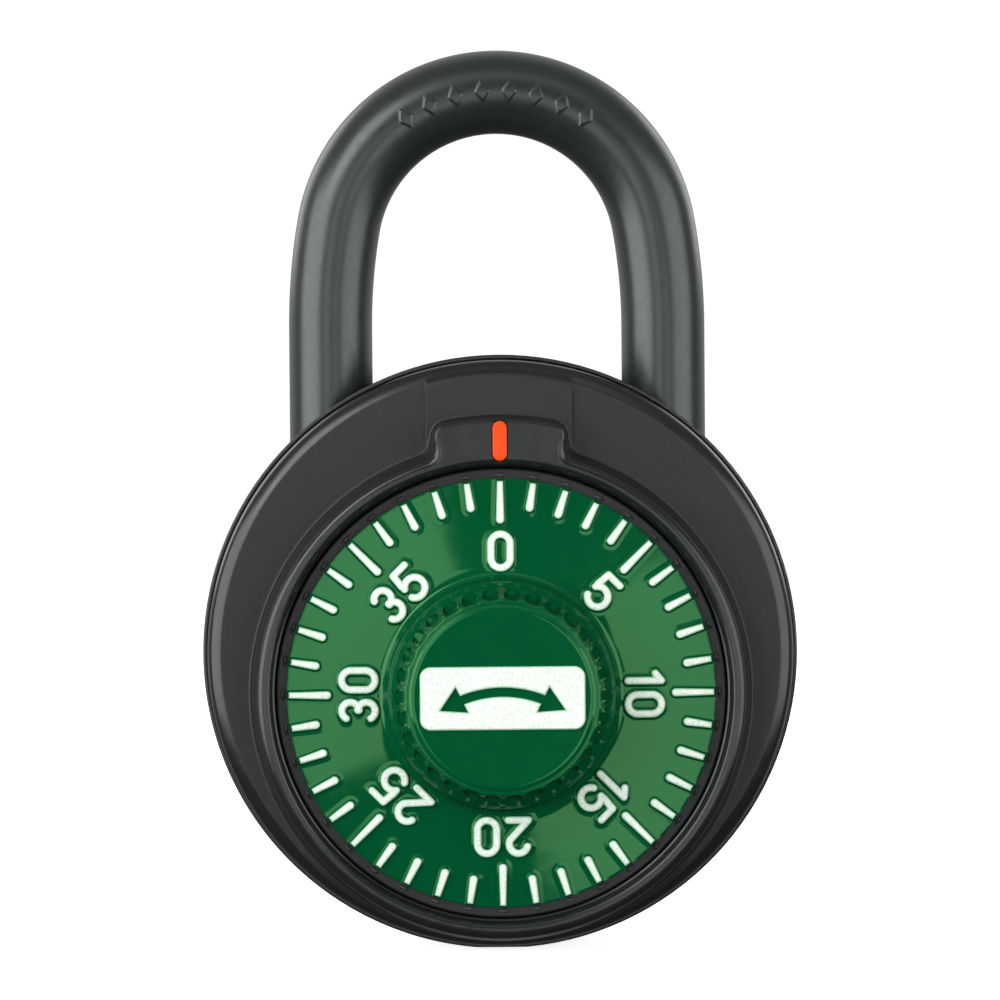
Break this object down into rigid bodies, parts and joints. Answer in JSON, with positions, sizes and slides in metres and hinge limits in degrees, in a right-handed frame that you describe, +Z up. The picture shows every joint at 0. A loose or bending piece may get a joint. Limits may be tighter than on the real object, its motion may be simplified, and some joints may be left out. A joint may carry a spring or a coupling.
{
  "type": "combination padlock",
  "caption": "Round combination padlock with a black case, a green dial with a fluted knob in a raised collar, and a black hardened shackle.",
  "frame": {"origin": "centre of the round back face of the case", "axes": "+Z up along the shackle legs, +X to the right as the dial is read, the dial faces -Y and the back face looks along +Y"},
  "size_m": [0.05, 0.0255, 0.0758],
  "materials": {
    "case_steel": "black powder coat on drawn steel, satin, very fine orange peel",
    "cover_black": "black moulded cover, fine spark-eroded texture, satin collar",
    "mark_orange": "bright red-orange insert",
    "frame_zinc": "die-cast zinc, as cast, matt",
    "plate_steel": "zinc-plated stamped and turned steel",
    "hard_steel": "ground hardened steel",
    "wheel_brass": "stamped brass, satin",
    "spring_steel": "drawn spring wire and strip, oiled",
    "nylon": "natural nylon, translucent matt",
    "shackle_black": "hardened steel with satin black coat",
    "dial_green": "deep green moulded plastic, high gloss",
    "skirt_black": "black moulded plastic, semi-gloss",
    "print_white": "white hot-stamped foil on raised marks"
  },
  "bodies": {
    "case": {"rear_case": "case_steel", "front_cover": "cover_black", "index_mark": "mark_orange", "inner_frame": "frame_zinc", "frame_plate": "plate_steel", "plate_screws": "plate_steel", "cover_rivets": "plate_steel", "heel_retainer": "plate_steel", "lever_pin": "hard_steel", "lever_spring": "spring_steel", "wheel_post": "plate_steel", "wheel_spacer": "nylon", "wheel_spring": "spring_steel", "post_clip": "plate_steel", "spindle_bush": "wheel_brass", "dial_washer": "nylon", "shackle_spring": "spring_steel", "latch_spring": "spring_steel"},
    "shackle": {"shackle": "shackle_black"},
    "latch": {"latch": "hard_steel"},
    "lever": {"lever": "plate_steel", "fence": "hard_steel"},
    "dial": {"dial": "dial_green", "dial_skirt": "skirt_black", "dial_ticks": "print_white", "dial_numerals": "print_white", "knob_badge": "print_white", "spindle": "plate_steel", "spindle_clip": "plate_steel", "cam_wheel": "wheel_brass", "cam_peg": "wheel_brass"},
    "middle_wheel": {"middle_wheel": "wheel_brass", "middle_peg": "wheel_brass"},
    "rear_wheel": {"rear_wheel": "wheel_brass", "rear_peg": "wheel_brass"}
  },
  "joints": [
    {"name": "dial_spin", "type": "hinge", "parent": "case", "child": "dial", "pos_m": [0, 0, -0.0032], "axis": [0, -1, 0], "continuous": true},
    {"name": "middle_wheel_spin", "type": "hinge", "parent": "case", "child": "middle_wheel", "pos_m": [0, 0, -0.0032], "axis": [0, -1, 0], "continuous": true},
    {"name": "rear_wheel_spin", "type": "hinge", "parent": "case", "child": "rear_wheel", "pos_m": [0, 0, -0.0032], "axis": [0, -1, 0], "continuous": true},
    {"name": "shackle_lift", "type": "slide", "parent": "case", "child": "shackle", "axis": [0, 0, 1], "range_m": [0, 0.0125], "deforming": ["shackle_spring"]},
    {"name": "latch_retract", "type": "slide", "parent": "case", "child": "latch", "axis": [-1, 0, 0], "range_m": [0, 0.00375], "deforming": ["latch_spring"]},
    {"name": "lever_rock", "type": "hinge", "parent": "case", "child": "lever", "pos_m": [-0.0065, 0, 0.0102], "axis": [0, -1, 0], "range_deg": [-1.8, 0], "stiffness_Nm_per_rad": 0.002, "springref_deg": 2.86}
  ],
  "couplings": [
    {"joint": "middle_wheel_spin", "follows": "dial_spin", "ratio": 1},
    {"joint": "rear_wheel_spin", "follows": "dial_spin", "ratio": 1},
    {"joint": "latch_retract", "follows": "shackle_lift", "ratio": 0.3}
  ]
}
